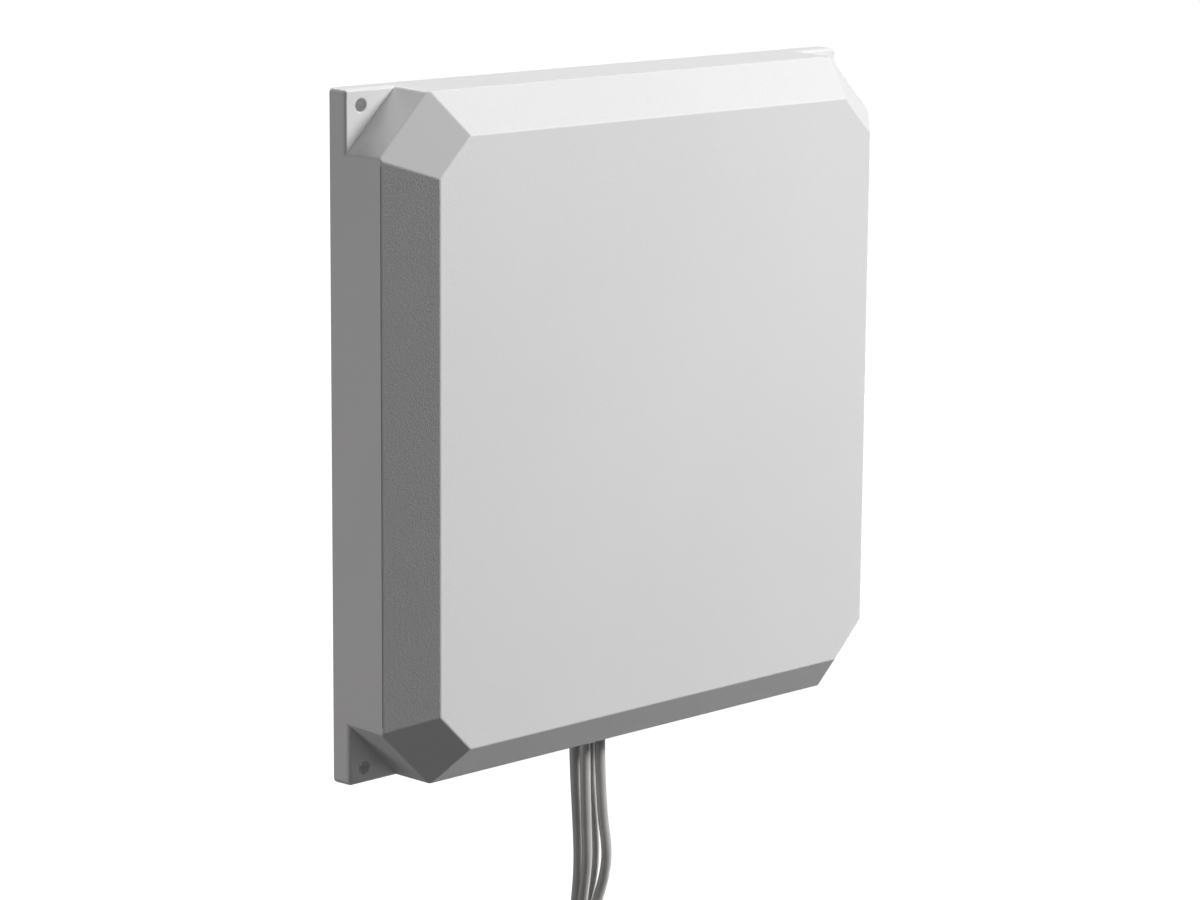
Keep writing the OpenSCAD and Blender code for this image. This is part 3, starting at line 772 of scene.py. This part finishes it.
def add_sleeve(n):
    """Shrunk sleeve over the end of the cable: soft ends, shallow shrink waves, a swell over the ferrule."""
    bm = bmesh.new()
    outside = [(radius, below) for below, radius in SLEEVE_WAVES]
    turned(bm, PLUG_PLACES[n], [*outside, (2.5, 16.0), (2.5, 0.0)], 40)
    sleeve = make_object(f"sleeve_{n + 1}", to_mesh(bm, f"sleeve_{n + 1}"), "sleeve_rubber")
    smooth_by_angle(sleeve.data, 50)
    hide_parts(f"crimp_sleeve_{n + 1}")
    return sleeve


def add_plug_body(n):
    """Ferrule, hexagon with turned chamfers, neck, shoulder and the open outer shell."""
    bm = bmesh.new()
    turned(bm, PLUG_PLACES[n], [
        (0, 12), (2.45, 12), (2.45, 16.5), (4.5, 16.5), (4.5, 21.9), (4.6, 22), (4.6, 27), (4.95, 27),
        (5.2, 27.25), (5.2, 28.75), (4.95, 29), (4.05, 29), (4.05, 30.6), (3.9, 30.75), (3.9, 31.6),
        (4.05, 31.75), (4.05, 36.6), (3.85, 37), (3.5, 37), (3.25, 36.6), (3.25, 30), (0, 30)])
    turned(bm, PLUG_PLACES[n], [
        (0, 16), (4.95, 16), (5.3, 16.25), (5.6, 16.65), (5.6, 21.35), (5.3, 21.75), (4.95, 22), (0, 22)],
        72, limit=hexagon)
    plug = make_object(f"plug_{n + 1}", to_mesh(bm, f"plug_{n + 1}"), "plug_nickel")
    smooth_by_angle(plug.data, 22)
    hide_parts(f"plug_body_{n + 1}")
    return plug


def add_nut(n):
    """Knurled coupling nut: plain bands at both ends, fine flutes between them and a thread in the bore."""
    thread = []
    for i in range(9):
        thread += [(5.4, 38.1 - 0.85 * i), (5.72, 37.68 - 0.85 * i)]
    bm = bmesh.new()
    turned(bm, PLUG_PLACES[n], [
        (6.6, 22.3), (7.0, 22.6), (7.0, 23.7), (6.8, 23.9), (6.8, 24.3), (7.25, 24.7, 0.0), (7.25, 25.0, 0.34),
        (7.25, 36.3, 0.34), (7.25, 36.6, 0.0), (6.8, 37.0), (6.8, 37.3), (7.0, 37.5), (7.0, 38.7), (6.7, 39.0),
        (5.8, 39.0), (5.4, 38.6), *thread, (5.4, 30.4), (5.4, 26.8), (4.66, 26.8), (4.66, 22.6), (4.9, 22.3)],
        160, flutes=32)
    name = f"nut_{n + 1}_knurled"
    nut = make_object(name, to_mesh(bm, name), "plug_nickel", f"nut_{n + 1}")
    smooth_by_angle(nut.data, 28)
    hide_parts(f"coupling_nut_{n + 1}")
    return nut


# ---------------------------------------------------------------- ties
TIE_WIDE, TIE_THICK, TIE_CORNER = 4.6, 1.2, 2.6
COIL_TIE_TURNS = (40, 250, 325)
COIL_TIE_INNER = 2 * (COIL_PITCH + 0.2)
LEAD_TIE_PLACE, LEAD_TIE_INNER = Vector((-10.5, -10.05, -254)), COIL_PITCH / 2 + 4.95 + 0.5


def strap_steps(inner):
    """Pairs of inner and outer outline points round a strap, no further than 0.7 mm apart."""
    outer = inner + 2 * TIE_THICK
    pairs = list(zip(rounded(inner, inner, TIE_CORNER), rounded(outer, outer, TIE_CORNER + TIE_THICK)))
    steps = []
    for (a, b), (c, d) in zip(pairs, [*pairs[1:], pairs[0]]):
        a, b, c, d = (Vector(p) for p in (a, b, c, d))
        count = max(1, round((c - a).length / 0.7))
        steps += [(a.lerp(c, i / count), b.lerp(d, i / count)) for i in range(count)]
    return steps


def add_block(bm, centre, size, place, chamfer=0.5):
    """A block with chamfered edges and corners, as eight cut-off corners joined by faces."""
    points = []
    for sx in (-1, 1):
        for sy in (-1, 1):
            for sz in (-1, 1):
                for axis in range(3):
                    corner = [s * (w / 2 - chamfer) for s, w in zip((sx, sy, sz), size)]
                    corner[axis] += (sx, sy, sz)[axis] * chamfer
                    points.append(bm.verts.new(place(Vector(centre) + Vector(corner))))
    bmesh.ops.convex_hull(bm, input=points)


def add_tie(bm, inner, matrix, centre):
    """A toothed strap round the bundle, its ratchet head and the cut end of the strap."""
    def place(point):
        return (centre + matrix @ point) * MM

    half = TIE_WIDE / 2
    rings = []
    for i, (low, high) in enumerate(strap_steps(inner)):
        high = high.lerp(low, 0.16 if i % 2 else 0.0)
        middle = low.lerp(high, 0.5)
        section = ((low, half - 0.3), (middle, half), (high, half - 0.6), (high, 0.6 - half), (middle, -half),
                   (low, 0.3 - half))
        rings.append([bm.verts.new(place(Vector((p.x, p.y, w)))) for p, w in section])
    for near, far in zip(rings, [*rings[1:], rings[0]]):
        for j in range(6):
            bm.faces.new((near[j], far[j], far[(j + 1) % 6], near[(j + 1) % 6]))
    out = inner / 2 + TIE_THICK
    # The head, the latch on top of it and the cut end of the strap
    add_block(bm, (out + 1.5, 0, 0), (3.0, 6.0, 5.4), place)
    add_block(bm, (out + 3.2, 0.8, 0), (1.6, 1.1, 4.2), place, 0.2)
    add_block(bm, (out + 1.5, -2.9, 0), (1.8, 0.9, 3.4), place, 0.25)


def add_ties():
    bm = bmesh.new()
    for turn in COIL_TIE_TURNS:
        c, s = math.cos(math.radians(turn)), math.sin(math.radians(turn))
        matrix = Matrix(((c, 0, -s), (0, 1, 0), (s, 0, c)))
        middle = COIL_CENTRE + matrix @ Vector((COIL_OUTER_TURN - COIL_PITCH / 2, 0, 0))
        add_tie(bm, COIL_TIE_INNER, matrix, middle)
    ties = make_object("coil_straps", to_mesh(bm, "coil_straps"), "tie_nylon")
    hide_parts("coil_ties")
    bm = bmesh.new()
    add_tie(bm, LEAD_TIE_INNER, Matrix(((0, 1, 0), (-1, 0, 0), (0, 0, 1))), LEAD_TIE_PLACE)
    tie = make_object("lead_strap", to_mesh(bm, "lead_strap"), "tie_nylon")
    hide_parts("lead_tie")
    return [ties, tie]


# ---------------------------------------------------------------- what hangs on the cables
straps = add_ties()
for n, cable in enumerate(cables):
    pieces = [add_sleeve(n), add_plug_body(n), add_nut(n)]


# ---------------------------------------------------------------- floor and lights, in metres
FLOOR_HALF, FLOOR_DROP = 120.0, 1.6


def add_floor():
    """A plain white floor well below the cables, which neither lights the object nor mirrors in it."""
    bm = bmesh.new()
    bmesh.ops.create_grid(bm, x_segments=1, y_segments=1, size=FLOOR_HALF)
    mesh = to_mesh(bm, "floor")
    material, _, shader = new_material("floor_white", (0.92, 0.92, 0.92), 0.9, 0.0, 0.1)
    shader.inputs["Emission Color"].default_value = (1.0, 1.0, 1.0, 1.0)
    shader.inputs["Emission Strength"].default_value = 1.0
    mesh.materials.append(material)
    floor = bpy.data.objects.new("floor", mesh)
    floor.location = (0, 0, cad_box[0][2] - FLOOR_DROP)
    floor.visible_diffuse = False
    floor.visible_glossy = False
    bpy.context.scene.collection.objects.link(floor)


def add_area(name, direction, distance, size, power, colour=(1, 1, 1)):
    """A square soft light in a direction from the panel's centre, facing it."""
    data = bpy.data.lights.new(name, "AREA")
    data.shape = "SQUARE"
    data.size = size
    data.energy = power
    data.color = colour
    lamp = bpy.data.objects.new(name, data)
    lamp.location = Vector(direction).normalized() * distance
    lamp.rotation_euler = (-Vector(direction)).to_track_quat("-Z", "Y").to_euler()
    bpy.context.scene.collection.objects.link(lamp)


def add_world(strength):
    world = bpy.data.worlds.new("studio")
    world.use_nodes = True
    background = world.node_tree.nodes["Background"]
    background.inputs["Color"].default_value = (1.0, 1.0, 1.0, 1.0)
    background.inputs["Strength"].default_value = strength
    bpy.context.scene.world = world


add_floor()
add_area("key", (0.41, -0.545, 0.425), 2.6, 0.7, 71)
add_area("back_top_fill", (0.20, 0.54, 0.82), 2.4, 1.2, 31)
add_area("left_top_fill", (-0.50, 0.10, 0.85), 2.4, 1.2, 6)
add_area("left_fill", (-0.76, 0.50, -0.20), 2.4, 1.2, 8, (1.0, 0.965, 0.97))
add_area("low_fill", (0.80, -0.20, -0.56), 2.6, 1.2, 15)
add_world(0.105)
bpy.context.scene.view_settings.view_transform = "Standard"
